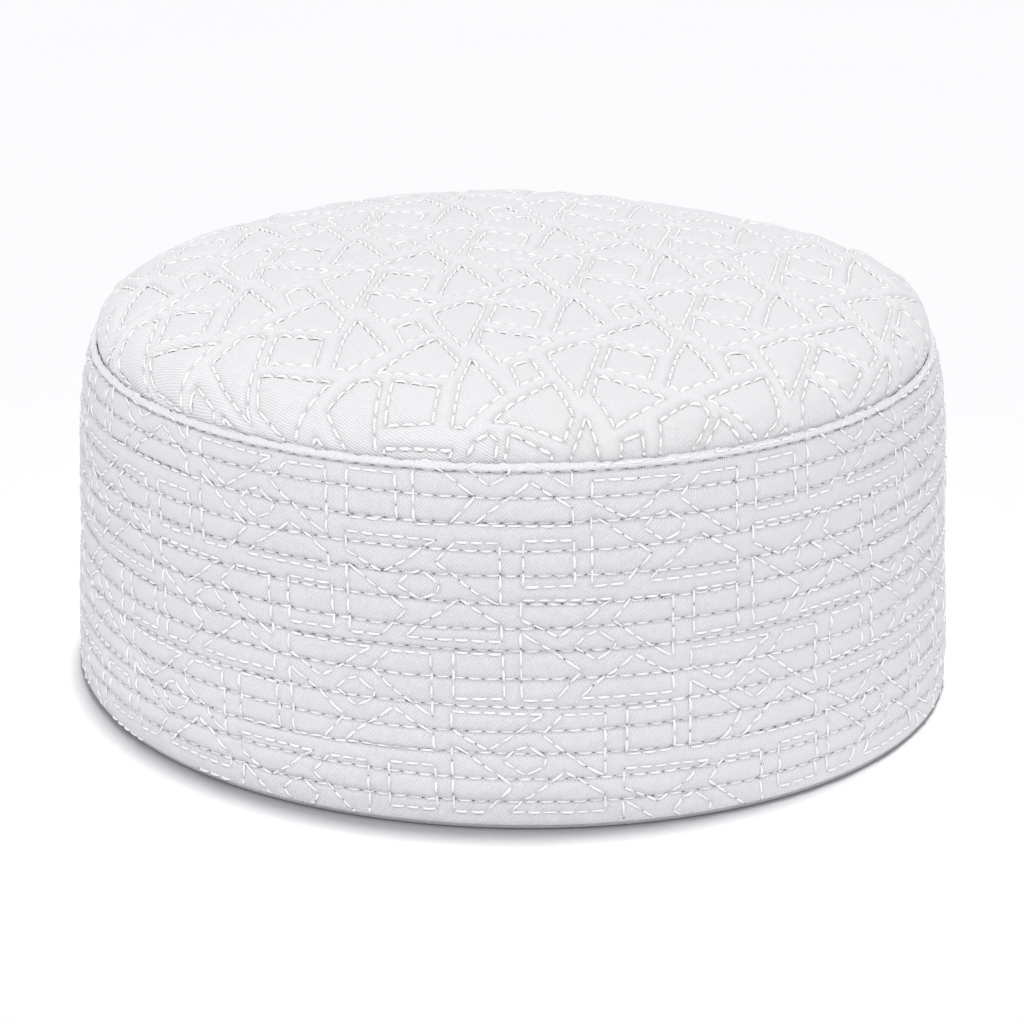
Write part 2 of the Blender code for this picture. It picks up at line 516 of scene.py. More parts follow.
def bump(node, join, height, strength, distance_mm, under=None):
    """Small relief over what lies under it."""
    made = node("ShaderNodeBump", {"Strength": strength, "Distance": distance_mm * MM})
    join(height, made.inputs["Height"])
    if under:
        join(under, made.inputs["Normal"])
    return made.outputs["Normal"]


def two_tones(node, join, factor, dark, light):
    """A colour between two shades."""
    shades = {"A": (*dark, 1.0), "B": (*light, 1.0)}
    made = node("ShaderNodeMix", shades, data_type="RGBA", blend_type="MIX")
    join(factor, made.inputs["Factor"])
    return made.outputs["Result"]


def multiplied(node, join, colour, tone):
    """A colour made lighter or darker by a tone."""
    made = node("ShaderNodeMix", {"Factor": 1.0}, data_type="RGBA", blend_type="MULTIPLY")
    join(colour, made.inputs["A"])
    join(tone, made.inputs["B"])
    return made.outputs["Result"]


def darker(colour, share):
    """The same colour with less light in it."""
    return tuple(share * part for part in colour)


# %% Quilted cotton twill
TWILL_PITCH = 0.47
WAVE_PERIOD = 2 * math.pi / 20
PUCKER_SLANT = -16.0
# Each look sets how much painted shade greys the creases, and the twill's brighter tone under the
# painted highlight on raised straps and the lip.
TwillLook = namedtuple("TwillLook", "colour crease_shade pucker_mm slant raised_tone")
CROWN_TWILL = TwillLook((0.83, 0.82, 0.838), 0.20, 0.20, -45.0, (0.90, 1.05))
BAND_TWILL = TwillLook((0.80, 0.786, 0.812), 0.14, 0.45, 28.0, (0.98, 1.14))


def twill_cloth(name, look):
    """Matt white twill: slanting lines, slight puckers, painted shade in creases, painted highlight
    on ridges.
    """
    material, shader, node, join = new_material(name)
    place = node("ShaderNodeAttribute", attribute_name="cloth_place").outputs["Vector"]
    crease = node("ShaderNodeAttribute", attribute_name="crease").outputs["Fac"]
    pucker = node("ShaderNodeAttribute", attribute_name="pucker").outputs["Fac"]
    raised = node("ShaderNodeAttribute", attribute_name="strap").outputs["Fac"]

    turned = node("ShaderNodeMapping", {"Rotation": (0.0, 0.0, math.radians(look.slant))})
    join(place, turned.inputs["Vector"])
    weaving = {"Distortion": 2.8, "Detail": 2.0, "Detail Scale": 0.9}
    weaving["Scale"] = WAVE_PERIOD / TWILL_PITCH
    twill = node("ShaderNodeTexWave", weaving, wave_type="BANDS", bands_direction="X")
    join(turned.outputs["Vector"], twill.inputs["Vector"])
    lines = twill.outputs["Fac"]
    fibres = noise(node, join, place, 2.6, 4.0)
    clouds = noise(node, join, place, 0.05, 3.0)

    drawn_out = {"Rotation": (0.0, 0.0, math.radians(PUCKER_SLANT)), "Scale": (1.0, 0.28, 1.0)}
    drawn = node("ShaderNodeMapping", drawn_out)
    join(place, drawn.inputs["Vector"])
    pulled = node("ShaderNodeMath", operation="MULTIPLY")
    join(noise(node, join, drawn.outputs["Vector"], 0.75), pulled.inputs[0])
    join(mapped_range(node, join, pucker, 0.35, 1.0), pulled.inputs[1])

    weave = bump(node, join, lines, 0.8, 0.10)
    fuzz = bump(node, join, fibres, 0.7, 0.20, weave)
    folds = bump(node, join, pulled.outputs["Value"], 1.0, look.pucker_mm, fuzz)
    join(folds, shader.inputs["Normal"])

    shade = two_tones(node, join, clouds, darker(look.colour, 0.965), look.colour)
    # Painted highlight: where the strap attribute marks a raised strap or the lip, the twill is
    # lighter.
    lightest = node("ShaderNodeMix", data_type="FLOAT")
    join(raised, lightest.inputs["Factor"])
    join(mapped_range(node, join, lines, 0.86, 1.05), lightest.inputs["A"])
    join(mapped_range(node, join, lines, *look.raised_tone), lightest.inputs["B"])
    woven = multiplied(node, join, shade, lightest.outputs["Result"])
    # Painted shade: the twill is greyer deep in a crease.
    in_crease = mapped_range(node, join, crease, 1.0, 1.0 - look.crease_shade)
    join(multiplied(node, join, woven, in_crease), shader.inputs["Base Color"])

    join(mapped_range(node, join, fibres, 0.80, 0.98), shader.inputs["Roughness"])
    shader.inputs["Sheen Weight"].default_value = 0.25
    shader.inputs["Sheen Roughness"].default_value = 0.6
    shader.inputs["Specular IOR Level"].default_value = 0.25
    return material


# %% Satin embroidery thread, and painted shade for the needle holes
THREAD_TWIST_PITCH = 0.42
THREAD_WHITE = (0.99, 0.985, 0.99)
# The grey below is painted shade for the bottom of a needle hole.
HOLE_SHADE_GREY = (0.20, 0.19, 0.22)
SHADE_SPECKLE_SCALE = 900.0


def satin_thread(name, colour):
    """White thread with a soft gloss and the slanting lines of its twist."""
    material, shader, node, join = new_material(name)
    place = node("ShaderNodeAttribute", attribute_name="thread_place")
    pitch = {"Scale": WAVE_PERIOD / THREAD_TWIST_PITCH, "Distortion": 0.4}
    twist = node("ShaderNodeTexWave", pitch, wave_type="BANDS", bands_direction="X")
    join(place.outputs["Vector"], twist.inputs["Vector"])
    plies = twist.outputs["Fac"]
    join(bump(node, join, plies, 0.6, 0.08), shader.inputs["Normal"])
    join(two_tones(node, join, plies, darker(colour, 0.94), colour), shader.inputs["Base Color"])
    join(mapped_range(node, join, plies, 0.34, 0.46), shader.inputs["Roughness"])
    shader.inputs["Sheen Weight"].default_value = 0.3
    shader.inputs["Sheen Roughness"].default_value = 0.4
    return material


def painted_hole_shade(name, colour):
    """Painted shade for the bottom of a needle hole: a dark grey, a little uneven."""
    material, shader, node, join = new_material(name)
    shade_speckle = noise(node, join, node("ShaderNodeTexCoord").outputs["Object"], SHADE_SPECKLE_SCALE)
    join(two_tones(node, join, shade_speckle, darker(colour, 0.5), colour), shader.inputs["Base Color"])
    shader.inputs["Roughness"].default_value = 1.0
    shader.inputs["Specular IOR Level"].default_value = 0.0
    return material


crown_twill = twill_cloth("crown_twill", CROWN_TWILL)
band_twill = twill_cloth("band_twill", BAND_TWILL)
white_thread = satin_thread("white_satin_thread", THREAD_WHITE)
hole_shade = painted_hole_shade("needle_hole_shade", HOLE_SHADE_GREY)
finishes = (crown_twill, band_twill, white_thread, hole_shade)
print("finishes:", [finish.name for finish in finishes])

# %% [markdown]
# ## The crown
#
# The face of the crown is one sheet from the pole to the seam. It turns down behind the band's lip
# as the seam allowance, and comes back as the underside, which only needs coarse rings. An even
# grid would need to be very fine to show clean grooves. So the rings lie half a millimetre apart, and
# the points near a row of stitches are moved onto it.

# %% Rings of the crown
CROWN_SPACING = 0.56
CROWN_POINTS = 768
CLOSEST_SHARE = 0.72
FEWEST_POINTS = 12
SNAP_REACH = 0.30
SNAP_FROM_RIM = 1.5
SNAP_FROM_POLE = 2.0


def points_in_ring(radius):
    """Halves the number of points until they are no closer together than the spacing."""
    count = CROWN_POINTS
    closest = CROWN_SPACING * CLOSEST_SHARE
    while count > FEWEST_POINTS and 2 * math.pi * radius / count < closest:
        count //= 2
    return count


def snapped_crown_ring(length, count):
    """One ring of the crown's face, with the points near a row of stitches moved onto it."""
    angle = np.linspace(0.0, 2 * math.pi, count, endpoint=False)
    lengths = np.full(count, length)
    if length > fine_lengths[-1] - SNAP_FROM_RIM or length < SNAP_FROM_POLE:
        return lengths, angle
    places = crown_cloth_place(length * np.cos(angle), length * np.sin(angle))
    distance, nearest, _ = nearest_row(places, crown_outlines, reach=1.0)
    step = np.where((distance < SNAP_REACH)[:, None], nearest - places, 0.0)
    across = np.cos(angle) * step[:, 0] + np.sin(angle) * step[:, 1]
    around = -np.sin(angle) * step[:, 0] + np.cos(angle) * step[:, 1]
    return lengths + across, angle + around / length


ring_count = int(round(fine_lengths[-1] / CROWN_SPACING))
ring_lengths = np.linspace(0.0, fine_lengths[-1], ring_count + 1)
face_lengths, face_angles, face_sizes = [np.zeros(1)], [np.zeros(1)], [1]
for length in ring_lengths[1:]:
    count = points_in_ring(float(dome_profile(np.array([length]))[0][0]))
    lengths, angles = snapped_crown_ring(length, count)
    face_lengths.append(lengths)
    face_angles.append(angles)
    face_sizes.append(count)
face_points, face_places, face_crease, face_strap = crown_surface(
    np.concatenate(face_lengths), np.concatenate(face_angles)
)
crown_rings = np.split(face_points, np.cumsum(face_sizes)[:-1])
print("crown face:", len(crown_rings), "rings,", len(face_points), "points")

# %% Turn the crown under
UNDER_RINGS = 14
UNDER_POINTS = 96
turned_line = [
    (seam_radius, lip_height, CROWN_POINTS),
    (foot_radius, foot_height, 4 * UNDER_POINTS),
    (foot_radius - ALLOWANCE_THICKNESS, foot_height, 2 * UNDER_POINTS),
]
for step in range(UNDER_RINGS):
    share = math.cos(math.pi / 2 * step / UNDER_RINGS)
    height = float(dome_height(np.array(share), under_height))
    turned_line.append((share * under_radius, height, UNDER_POINTS))
turned_line.append((0.0, float(dome_height(np.array(0.0), under_height)), 1))

section = np.array([(radius, height) for radius, height, _ in turned_line])
from_pole = np.cumsum(np.linalg.norm(np.diff(section[::-1], axis=0), axis=1))[::-1]
turned_rings, turned_places = [], []
for (radius, height, count), run in zip(turned_line, [*from_pole, 0.0]):
    angle = np.linspace(0.0, 2 * math.pi, count, endpoint=False)
    turned_rings.append(soften(np.full(count, radius), np.full(count, height), angle))
    turned_places.append(np.column_stack([run * np.cos(angle), run * np.sin(angle)]))
plain = np.zeros(sum(len(ring) for ring in turned_rings))
crown_places = np.concatenate([face_places, *turned_places])
crown_crease = np.concatenate([face_crease, plain])
crown_strap = np.concatenate([face_strap, plain])
crown_rings += turned_rings
crown_mesh = cloth_mesh(
    "quilted_crown", crown_rings, crown_places, crown_crease, crown_crease, crown_strap
)
quilted_crown = add_piece("quilted_crown", crown_mesh, crown_twill)
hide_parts("crown")

# %% [markdown]
# ## The band
#
# Thirteen rows of quilting and one row of topstitching run right round the band. They are not quite
# even, so their heights are charted one by one, and each wanders a little. Between two rows the
# padding swells into a rib. At the back the band is closed by an upright seam. A displace modifier on
# an even grid would cut across the rows. Here the rings of the mesh follow the rows instead, so that
# every crease is crisp with few faces.

# %% Heights of the quilting rows
QUILT_ROWS = (72.9, 68.2, 63.4, 57.8, 52.6, 47.3, 42.2, 37.3, 31.6, 25.9, 20.9, 15.9, 10.9, 6.0)
ROW_WANDER = 0.22
WANDER_END = 74.0
WANDER_REACH = 8.0
QUILT_PITCH = 3.3
ROW_STEP = 2.4


def row_height(row, angle):
    """The height of a quilting row at an angle."""
    wave = np.sin(3 * angle + 1.7 * row) + 0.6 * np.sin(7 * angle + 2.9 * row)
    below_lip = min(1.0, (WANDER_END - QUILT_ROWS[row]) / WANDER_REACH)
    return QUILT_ROWS[row] + ROW_WANDER * wave * below_lip


def quilt_count(row):
    """How many stitches a quilting row has all the way round."""
    return round(2 * math.pi * float(side_radius(QUILT_ROWS[row])) / QUILT_PITCH)


print("stitches in the quilting rows:", [quilt_count(row) for row in range(len(QUILT_ROWS))])

# %% How the band's cloth is pulled, in millimetres
RIGHT_EASE = 2.5
LEFT_EASE = 5.0
EASE_REACH = 90.0
LEFT_EASE_BELOW = 60.0
STRETCH = 1.0
STRETCH_BELOW = 37.0


def band_chart_place(turn, height):
    """The place on the chart for a turn from the front and a height, with the cloth's pulls."""
    along = (side_radius(height) + 1.0) * turn
    right, left = np.clip(along / EASE_REACH, 0.0, 1.0), np.clip(-along / EASE_REACH, 0.0, 1.0)
    low = np.clip(1.0 - height / LEFT_EASE_BELOW, 0.0, 1.0)
    eased = RIGHT_EASE * right**2 - LEFT_EASE * left**1.5 * low
    stretched = STRETCH * np.clip((STRETCH_BELOW - height) / STRETCH_BELOW, 0.0, 1.0) ** 2
    return np.stack([along + eased, height + stretched], axis=-1)


def band_cloth_place(angle, height):
    """Where a place on the band lies on the chart: along the cloth from the front, and up."""
    turn = (angle + math.pi / 2 + math.pi) % (2 * math.pi) - math.pi
    return band_chart_place(turn, height)


def seam_distance(angle, height):
    """How far a place lies from the band's closing seam, which is at the back."""
    return np.abs((angle + math.pi / 2) % (2 * math.pi) - math.pi) * side_radius(height)


# %% The folded lip, and the ribs between the rows
LIP_ROUNDING = LIP_THICKNESS / 2
LIP_START = BAND_HEIGHT - LIP_ROUNDING
LIP_END = LIP_START + LIP_ROUNDING * math.pi
RIB_FULLNESS = 0.42
PULL_REACH = 1.4
LIP_RIB_TOP = LIP_START + 3.0
HEM_RIB_FOOT = -6.0
MOST_UNDER_LIP = 0.22


def stitch_pull(height, angle):
    """How the single stitches of the quilting dimple the cloth: 1 at a needle hole, -1 between."""
    total = np.zeros_like(angle)
    for row in range(1, len(QUILT_ROWS)):
        near = beside(height - row_height(row, angle), PULL_REACH)
        total += near * np.cos(quilt_count(row) * angle - ROW_STEP * row)
    return total


def rib_share(height, angle):
    """How deep in a quilting crease a place lies: 1 on a row, 0 on the back of a rib."""
    rows = np.stack([row_height(row, angle) for row in range(len(QUILT_ROWS))])
    above = np.where(rows >= height, rows, np.inf).min(axis=0)
    below = np.where(rows < height, rows, -np.inf).max(axis=0)
    above = np.where(np.isinf(above), LIP_RIB_TOP, above)
    below = np.where(np.isinf(below), HEM_RIB_FOOT, below)
    share = (height - below) / (above - below)
    deep = 1 - np.sin(math.pi * np.clip(share, 0.0, 1.0)) ** RIB_FULLNESS
    under_lip = np.clip((LIP_START + 0.5 - height) / 2.0, 0.0, MOST_UNDER_LIP)
    return deep * np.where(height > rows[0], under_lip, 1.0)


def over_lip(height, rise):
    """Radius and height of the band's cloth, which goes on from its face over the folded lip."""
    turn = np.clip((height - LIP_START) / LIP_ROUNDING, 0.0, math.pi)
    radius = LIP_RADIUS - LIP_ROUNDING + (LIP_ROUNDING + rise) * np.cos(turn)
    lip = LIP_START + (LIP_ROUNDING + rise) * np.sin(turn)
    flat = height < LIP_START
    return np.where(flat, side_radius(height) + rise, radius), np.where(flat, height, lip)


# %% Relief of the band, in millimetres
RIB_DEPTH = 1.0
BAND_GROOVE = 0.26
BAND_GROOVE_WIDTH = 0.50
LIP_GROOVE_LOSS = 0.7
BAND_FIELD_RISE = 0.10
BAND_FIELD_WIDTH = 1.5
STITCH_PULL = 0.12
SEAM_DEPTH = 0.55
SEAM_WIDTH = 0.7
HEM_FADE = 2.0
BAND_LUMPS = Unevenness(0.09, 9.0, 4)
BAND_CRUMPLES = Unevenness(0.05, 3.0, 5)
LIP_WRINKLES = Unevenness(0.10, 2.2, 6)
WRINKLE_STRETCH = np.array([1.0, 0.4])


def band_surface(angle, height, lift=0.0):
    """Points of the band's face, their places on the chart, painted shade, crease, and share of the
    lip, which also places a painted highlight.
    """
    places = band_cloth_place(angle, height)
    distance, _, inside = nearest_row(places, band_outlines)
    crease = rib_share(height, angle)
    edge = np.clip((height - HEM_ROUNDING) / HEM_FADE, 0.0, 1.0)
    lip = np.clip(height - LIP_START + 1.0, 0.0, 1.0)
    groove = BAND_GROOVE * beside(distance, BAND_GROOVE_WIDTH)
    groove = groove + SEAM_DEPTH * beside(seam_distance(angle, height), SEAM_WIDTH)
    field = BAND_FIELD_RISE * (1 - beside(distance, BAND_FIELD_WIDTH)) * inside
    uneven = uneven_cloth(places, BAND_LUMPS) + uneven_cloth(places, BAND_CRUMPLES) * (1 - lip)
    uneven = uneven + uneven_cloth(places * WRINKLE_STRETCH, LIP_WRINKLES) * lip
    cloth = field - groove * (1 - LIP_GROOVE_LOSS * lip) + uneven
    cloth = cloth - STITCH_PULL * stitch_pull(height, angle)
    rise = cloth * edge - RIB_DEPTH * crease + lift
    radius, lifted = over_lip(height, rise)
    points = soften(radius, lifted, angle)
    # Painted shade beside the stitch rows and deep in the quilting creases, none over the lip.
    shade = np.maximum(beside(distance, CREASE_WIDTH) * edge, crease**2) * (1 - lip)
    return points, places, shade, crease, lip


# %% Rings of the band: over the lip, down the ribs, round the hem and up inside
BAND_POINTS = 750
FACES_PER_RIB = 8
LIP_RINGS = 8
BAND_SNAP_REACH = 0.42
SEAM_CLEAR = 1.6
around = np.linspace(0.0, 2 * math.pi, BAND_POINTS, endpoint=False) + math.pi / 2
band_rings = []


def add_plain_ring(radius, height):
    """A ring of the band that carries no embroidery."""
    radii, heights = np.broadcast_to(radius, BAND_POINTS), np.full(BAND_POINTS, height)
    plain = np.zeros(BAND_POINTS)
    places = band_cloth_place(around, heights) + np.column_stack([plain, radii - LIP_RADIUS])
    band_rings.append((soften(radii, heights, around), places, plain, plain, plain))


def add_face_ring(heights):
    """A ring of the band's face, with the points near a row of stitches moved onto it."""
    places = band_cloth_place(around, heights)
    distance, nearest, _ = nearest_row(places, band_outlines, reach=1.0)
    snapped = (distance < BAND_SNAP_REACH) & (seam_distance(around, heights) > SEAM_CLEAR)
    angle = around + np.where(snapped, nearest[:, 0] - places[:, 0], 0.0) / side_radius(heights)
    band_rings.append(band_surface(angle, heights))


for height in np.linspace(LIP_END, QUILT_ROWS[0], LIP_RINGS)[:-1]:
    add_face_ring(np.full(BAND_POINTS, height))
for row in range(len(QUILT_ROWS) - 1):
    upper, lower = row_height(row, around), row_height(row + 1, around)
    for step in range(FACES_PER_RIB):
        add_face_ring(upper + (lower - upper) * step / FACES_PER_RIB)
last_row = row_height(len(QUILT_ROWS) - 1, around)
for step in range(FACES_PER_RIB):
    add_face_ring(last_row + (HEM_ROUNDING - last_row) * step / (FACES_PER_RIB - 1))
hem_heights = np.full(BAND_POINTS, HEM_ROUNDING)
hem_face = side_radius(hem_heights) - RIB_DEPTH * rib_share(hem_heights, around)
for turn in np.radians((-25.0, -50.0, -75.0, -90.0)):
    outer = hem_face - HEM_ROUNDING * (1 - math.cos(turn))
    add_plain_ring(outer, HEM_ROUNDING * (1 + math.sin(turn)))
for turn in np.radians((-90.0, -135.0, -180.0)):
    inner = HEM_RADIUS - BAND_WALL + HEM_INNER_ROUNDING * (1 + math.cos(turn))
    add_plain_ring(inner, HEM_INNER_ROUNDING * (1 + math.sin(turn)))
for share in (0.15, 0.4, 0.65, 0.85, 1.0):
    height = share * foot_height
    add_plain_ring(float(side_radius(height)) - BAND_WALL, height)
band_rings.append(band_rings[0])
print("band:", len(band_rings), "rings of", BAND_POINTS, "points")

# %% Make the band
ring_points, *ring_notes = zip(*band_rings)
band_mesh = cloth_mesh("quilted_band", ring_points, *map(np.concatenate, ring_notes))
quilted_band = add_piece("quilted_band", band_mesh, band_twill)
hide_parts("side_band")

# %% [markdown]
# ## The stitches
#
# A stitch is a short length of thread between two needle holes. It lies on the cloth in the middle
# and dives into the padding at both ends. Curves with a round bevel would do, but thousands of them
# are slow and heavy. So one function makes the points of all the stitches of a piece at once, from
# where each starts and ends on the chart.

# %% Cut the rows into stitches
STITCH_PITCH = 3.3
SHORTEST_STITCH = 0.8
HALVINGS = 7
STITCH_SIDES = 5
StitchRing = namedtuple("StitchRing", "along_share radius_share lift_share")
STITCH_RINGS = (
    StitchRing(0.05, 0.00, -0.7),
    StitchRing(0.13, 0.66, -0.1),
    StitchRing(0.34, 1.00, 0.5),
    StitchRing(0.66, 1.00, 0.5),
    StitchRing(0.87, 0.66, -0.1),
    StitchRing(0.95, 0.00, -0.7),
)
HOLE_JITTER = 0.06
THREAD_BREADTH = 1.15
THREAD_HEIGHT = 0.75
THREAD_UNEVENNESS = (0.80, 1.22)


def cut_row(start, end):
    """Splits a straight row into stitches, as pairs of needle holes on the chart."""
    count = max(1, round(float(np.linalg.norm(end - start)) / STITCH_PITCH))
    shares = np.linspace(0.0, 1.0, count + 1)
    shares[1:-1] += random.uniform(-HOLE_JITTER, HOLE_JITTER, count - 1) / count
    holes = start + shares[:, None] * (end - start)
    return list(zip(holes, holes[1:]))


def outline_stitches(outlines):
    """All the stitches of the fields' outlines, as two arrays of needle holes."""
    pairs = []
    for outline in outlines:
        for start, end in zip(outline, np.roll(outline, -1, axis=0)):
            pairs += cut_row(start, end)
    return np.array([pair[0] for pair in pairs]), np.array([pair[1] for pair in pairs])


def clip_stitches(hole_a, hole_b, on_cloth):
    """Shortens the stitches that would run off the cloth, and drops those that lie beyond it."""
    kept = on_cloth(hole_a) | on_cloth(hole_b)
    hole_a, hole_b = hole_a[kept], hole_b[kept]
    for near, far in ((hole_a, hole_b), (hole_b, hole_a)):
        cut = on_cloth(near) & ~on_cloth(far)
        inner, outer = near[cut].copy(), far[cut].copy()
        for _ in range(HALVINGS):
            middle = (inner + outer) / 2
            good = on_cloth(middle)
            inner[good], outer[~good] = middle[good], middle[~good]
        far[cut] = inner
    long_enough = np.linalg.norm(hole_b - hole_a, axis=1) > SHORTEST_STITCH
    return hole_a[long_enough], hole_b[long_enough]


def embroidery_stitches(outlines, on_cloth, cloth_points, lift):
    """Needle holes on the chart, and the start, middle, end and outward direction of each stitch."""
    hole_a, hole_b = clip_stitches(*outline_stitches(outlines), on_cloth)
    starts, ends = cloth_points(hole_a, 0.0)[0], cloth_points(hole_b, 0.0)[0]
    middles, outward = cloth_points((hole_a + hole_b) / 2, lift)
    return hole_a, hole_b, (starts, middles, ends, outward)


# %% Build the threads of many stitches
def thread_mesh(name, starts, middles, ends, outward, radius):
    """One mesh with a tapered thread for each stitch, from its two holes and the middle between."""
    count = len(starts)
    along = ends - starts
    length = np.linalg.norm(along, axis=1, keepdims=True)
    along = along / np.maximum(length, 1e-6)
    side = np.cross(along, outward)
    side /= np.maximum(np.linalg.norm(side, axis=1, keepdims=True), 1e-6)
    points, places = [], []
    thickness = radius * random.uniform(*THREAD_UNEVENNESS, (count, 1))
    offset = random.uniform(0.0, 50.0, (count, 1))
    bend = 2 * middles - (starts + ends) / 2
    for ring in STITCH_RINGS:
        share = ring.along_share
        line = starts * (1 - share) ** 2 + ends * share**2
        centre = line + 2 * share * (1 - share) * bend + outward * ring.lift_share * thickness
        for step in range(STITCH_SIDES if ring.radius_share > 0 else 1):
            turn = 2 * math.pi * step / STITCH_SIDES - math.pi / 2
            spoke = side * math.cos(turn) * THREAD_BREADTH
            spoke = spoke + outward * math.sin(turn) * THREAD_HEIGHT
            points.append(centre + spoke * thickness * ring.radius_share)
            twist = step / STITCH_SIDES * THREAD_TWIST_PITCH
            places.append(np.column_stack([share * length + offset + twist, offset, 0 * offset]))
    stride = len(points)
    points = np.stack(points, axis=1).reshape(-1, 3)
    places = np.stack(places, axis=1).reshape(-1, 3)
    tips, sides = [], []
    last_ring = stride - 1 - STITCH_SIDES
    for step in range(STITCH_SIDES):
        after = (step + 1) % STITCH_SIDES
        tips.append((0, 1 + step, 1 + after))
        tips.append((stride - 1, last_ring + after, last_ring + step))
        for low in range(1, last_ring, STITCH_SIDES):
            high = low + STITCH_SIDES
            sides.append((low + step, high + step, high + after, low + after))
    faces = []
    for corners in (np.array(tips), np.array(sides)):
        copies = corners[None] + stride * np.arange(count)[:, None, None]
        faces += copies.reshape(-1, corners.shape[1]).tolist()
    mesh = bpy.data.meshes.new(name)
    mesh.from_pydata(to_row(points).tolist(), [], faces)
    note_points(mesh, "thread_place", places)
    mesh.shade_smooth()
    return mesh


# %% Painted shade in the needle holes
HOLE_SIDES = 6
HOLE_UNEVENNESS = (0.6, 1.25)
EMBROIDERY_HOLE_LIFT = 0.04


def hole_mesh(name, points, outward, radius):
    """A small patch of painted shade in the bottom of each needle hole."""
    count = len(points)
    across = np.cross(outward, np.array([0.3, 0.2, 0.9]))
    across /= np.linalg.norm(across, axis=1, keepdims=True)
    upward = np.cross(outward, across)
    corners = []
    size = radius * random.uniform(*HOLE_UNEVENNESS, (count, 1))
    for step in range(HOLE_SIDES):
        turn = 2 * math.pi * step / HOLE_SIDES
        corners.append(points + (across * math.cos(turn) + upward * math.sin(turn)) * size)
    corners = np.stack(corners, axis=1).reshape(-1, 3)
    faces = np.arange(count * HOLE_SIDES).reshape(count, HOLE_SIDES)
    mesh = bpy.data.meshes.new(name)
    mesh.from_pydata(to_row(corners).tolist(), [], faces.tolist())
    return mesh


# %% Where a place on the crown's chart lies on the dome
UNDO_STEPS = 10


def crown_length_and_angle(places):
    """Undoes the pull of the crown's cloth, and gives distance from the pole and angle."""
    plain = places.copy()
    for _ in range(UNDO_STEPS):
        plain += places - crown_cloth_place(plain[:, 0], plain[:, 1])
    return np.hypot(plain[:, 0], plain[:, 1]), np.arctan2(plain[:, 1], plain[:, 0])


def crown_outward(length, angle):
    """The direction straight out of the dome."""
    _, _, out, up = dome_profile(length)
    return np.stack([out * np.cos(angle), out * np.sin(angle), up], axis=-1)


def crown_points(places, lift):
    """Points on the crown's face for places on its chart."""
    length, angle = crown_length_and_angle(places)
    return crown_surface(length, angle, lift)[0], crown_outward(length, angle)


# %% Embroider the crown
EMBROIDERY_RADIUS = 0.265
STITCH_EDGE = 0.8
CROWN_LIFT = 0.28
UPRIGHT_SHARE = 0.88
SIDEWAYS_EXTRA = 0.40
CROWN_HOLES_SHARE = 0.45
CROWN_HOLE_RADIUS = 0.15


def on_crown(places):
    """Which places of the chart lie on the crown's face."""
    return crown_length_and_angle(places)[0] < fine_lengths[-1] - STITCH_EDGE


hole_a, hole_b, crown_stitches = embroidery_stitches(
    crown_outlines, on_crown, crown_points, CROWN_LIFT
)
slope = np.abs(hole_b - hole_a)
slope = slope[:, :1] / np.maximum(np.hypot(slope[:, :1], slope[:, 1:]), 1e-6)
crown_thread = EMBROIDERY_RADIUS * (UPRIGHT_SHARE + SIDEWAYS_EXTRA * slope)
crown_thread_mesh = thread_mesh("crown_embroidery", *crown_stitches, crown_thread)
add_piece("crown_embroidery", crown_thread_mesh, white_thread)
# Patches of painted shade in some of the crown's needle holes.
pierced = hole_a[random.uniform(size=len(hole_a)) < CROWN_HOLES_SHARE]
crown_holes = crown_points(pierced, EMBROIDERY_HOLE_LIFT)
crown_hole_mesh = hole_mesh("crown_needle_holes", *crown_holes, CROWN_HOLE_RADIUS)
add_piece("crown_needle_holes", crown_hole_mesh, hole_shade)


# %% Where a place on the band's chart lies on the band
def band_angle_and_height(places):
    """Undoes the pulls and the flare of the band's cloth, and gives angle, height and turn."""
    turn, height = places[:, 0] / LIP_RADIUS, places[:, 1].copy()
    for _ in range(UNDO_STEPS):
        missing = places - band_chart_place(turn, height)
        turn = turn + missing[:, 0] / (side_radius(height) + 1.0)
        height = height + missing[:, 1]
    return turn - math.pi / 2, height, turn


def band_outward(angle):
    """The direction straight out of the band, taken as level."""
    return np.stack([np.cos(angle), np.sin(angle), np.zeros_like(angle)], axis=-1)


def band_points(places, lift):
    """Points on the band's face for places on its chart."""
    angle, height, _ = band_angle_and_height(places)
    return band_surface(angle, height, lift)[0], band_outward(angle)


# %% Embroider the band
BAND_LIFT = 0.12
BAND_HOLES_SHARE = 0.6
BAND_HOLE_RADIUS = 0.16


def on_band(places):
    """Which places of the chart lie on the band's face, from the hem to over the lip."""
    _, height, turn = band_angle_and_height(places)
    return (height > HEM_ROUNDING) & (height < LIP_END) & (np.abs(turn) < math.pi)


hole_a, _, band_stitches = embroidery_stitches(band_outlines, on_band, band_points, BAND_LIFT)
band_thread = UPRIGHT_SHARE * EMBROIDERY_RADIUS
band_thread_mesh = thread_mesh("band_embroidery", *band_stitches, band_thread)
add_piece("band_embroidery", band_thread_mesh, white_thread)
pierced = hole_a[random.uniform(size=len(hole_a)) < BAND_HOLES_SHARE]
band_hole_points, band_hole_out = band_points(pierced, EMBROIDERY_HOLE_LIFT)

# %% Quilt the band, and close it at the back
QUILT_LIFT = 0.05
QUILT_THREAD = 0.21
QUILT_HOLE_LIFT = 0.10
QUILT_HOLE_RADIUS = 0.27
SEAM_ROW_ASIDE = 2.2
SEAM_FOOT = HEM_ROUNDING + 0.5
SEAM_TOP = BAND_HEIGHT - 1.0
sewn = {"starts": [], "middles": [], "ends": [], "outward": []}


def sew(start, middle, end):
    """Keeps a run of stitches. Each place is an angle and a height on the band."""
    sewn["starts"].append(band_surface(*start)[0])
    sewn["middles"].append(band_surface(*middle, QUILT_LIFT)[0])
    sewn["ends"].append(band_surface(*end)[0])
    sewn["outward"].append(band_outward(middle[0]))


